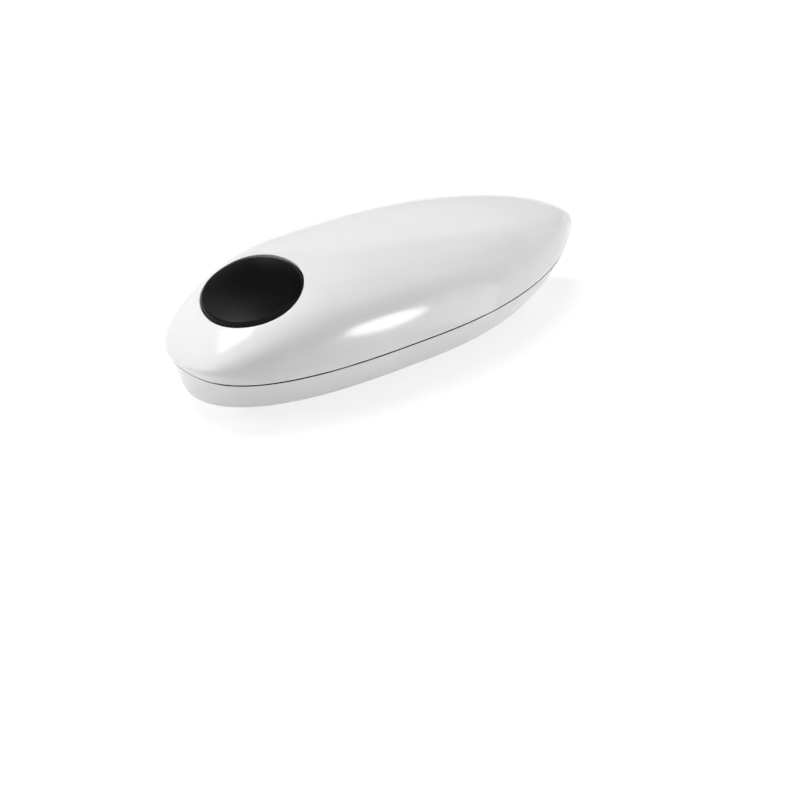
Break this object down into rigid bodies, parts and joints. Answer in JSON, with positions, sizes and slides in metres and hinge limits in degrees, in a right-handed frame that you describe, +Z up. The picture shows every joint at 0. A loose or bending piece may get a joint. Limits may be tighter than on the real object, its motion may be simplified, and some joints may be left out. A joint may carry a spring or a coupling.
{
  "type": "electric can opener",
  "caption": "Hand-held battery can opener: glossy teardrop shell with a large domed push button over a geared drive wheel and an eccentric cutter wheel that trims the rim of a can.",
  "frame": {"origin": "middle of the bounding box on the plane that the drive hub and the moulded feet stand on", "axes": "+X from the nose to the tail, +Y across, +Z up through the push button side"},
  "size_m": [0.2045, 0.0762, 0.0531],
  "materials": {
    "shell_white": "gloss",
    "button_black": "satin",
    "switch_black": "matte",
    "switch_red": "matte",
    "board_green": "satin",
    "screw_steel": "zinc plated",
    "plate_steel": "plain sheet",
    "axle_steel": "ground",
    "gear_nylon": "satin",
    "gear_steel": "sintered",
    "wheel_steel": "hardened",
    "blade_steel": "ground",
    "carrier_black": "satin",
    "bronze": "sintered",
    "ring_rubber": "matte",
    "magnet_grey": "nickel plated",
    "motor_steel": "zinc plated",
    "core_steel": "lacquered",
    "cell_jacket": "printed jacket left plain",
    "contact_nickel": "nickel plated"
  },
  "bodies": {
    "housing": {"top_cover": "shell_white", "bottom_case": "shell_white", "case_screws": "screw_steel", "switch_board": "board_green", "board_screws": "screw_steel", "power_switch": "switch_black", "gearbox_base": "plate_steel", "base_screws": "screw_steel", "drive_bridge": "plate_steel", "bridge_screws": "screw_steel", "gearbox_top": "plate_steel", "spacer_posts": "axle_steel", "plate_screws": "screw_steel", "gear_axles": "axle_steel", "lower_bush": "bronze", "upper_bush": "bronze", "lid_magnet": "magnet_grey", "motor_can": "motor_steel", "motor_end_bell": "switch_black", "motor_magnets": "magnet_grey", "motor_bush": "bronze", "motor_bracket": "plate_steel", "bracket_screws": "screw_steel", "battery_cells": "cell_jacket", "front_contacts": "contact_nickel", "rear_contacts": "contact_nickel"},
    "button": {"power_button": "button_black"},
    "plunger": {"switch_plunger": "switch_red"},
    "rotor": {"motor_armature": "core_steel", "motor_pinion": "bronze"},
    "first_wheel": {"first_gear": "gear_nylon"},
    "second_wheel": {"second_gear": "gear_nylon"},
    "third_wheel": {"third_gear": "gear_nylon"},
    "drive": {"drive_shaft": "axle_steel", "drive_gear": "gear_steel", "drive_wheel": "wheel_steel", "drive_screw": "screw_steel", "friction_ring": "ring_rubber"},
    "carrier": {"cutter_carrier": "carrier_black", "cutter_axle_screw": "screw_steel"},
    "cutter": {"cutter_wheel": "blade_steel"},
    "hatch": {"battery_cover": "shell_white"}
  },
  "joints": [
    {"name": "button_press", "type": "slide", "parent": "housing", "child": "button", "axis": [0.3567, 0, -0.9342], "range_m": [0, 0.0022], "stiffness_N_per_m": 1500, "springref_m": -0.001},
    {"name": "plunger_press", "type": "slide", "parent": "housing", "child": "plunger", "axis": [0.3567, 0, -0.9342], "range_m": [0, 0.0022]},
    {"name": "second_spin", "type": "hinge", "parent": "housing", "child": "second_wheel", "pos_m": [-0.03378, 0.00167, 0.02], "axis": [0, 0, 1], "continuous": true},
    {"name": "motor_spin", "type": "hinge", "parent": "housing", "child": "rotor", "pos_m": [-0.00759, 0, 0.02], "axis": [0, 0, 1], "continuous": true},
    {"name": "first_spin", "type": "hinge", "parent": "housing", "child": "first_wheel", "pos_m": [-0.02051, -0.00762, 0.02], "axis": [0, 0, 1], "continuous": true},
    {"name": "third_spin", "type": "hinge", "parent": "housing", "child": "third_wheel", "pos_m": [-0.04122, 0.01762, 0.02], "axis": [0, 0, 1], "continuous": true},
    {"name": "drive_spin", "type": "hinge", "parent": "housing", "child": "drive", "pos_m": [-0.056, 0, 0.02], "axis": [0, 0, 1], "continuous": true},
    {"name": "carrier_turn", "type": "hinge", "parent": "housing", "child": "carrier", "pos_m": [-0.0765, 0, 0.008], "axis": [0, 0, 1], "range_deg": [0, 170]},
    {"name": "cutter_spin", "type": "hinge", "parent": "carrier", "child": "cutter", "pos_m": [-0.0797, 0, 0.02], "axis": [0, 0, 1], "continuous": true},
    {"name": "hatch_swing", "type": "hinge", "parent": "housing", "child": "hatch", "pos_m": [0.0614, 0, 0.0066], "axis": [0, -1, 0], "range_deg": [0, 90]}
  ],
  "couplings": [
    {"joint": "plunger_press", "follows": "button_press", "ratio": 1},
    {"joint": "motor_spin", "follows": "second_spin", "ratio": 14},
    {"joint": "first_spin", "follows": "second_spin", "ratio": -3.5},
    {"joint": "third_spin", "follows": "second_spin", "ratio": -0.375},
    {"joint": "drive_spin", "follows": "second_spin", "ratio": 0.13235}
  ]
}
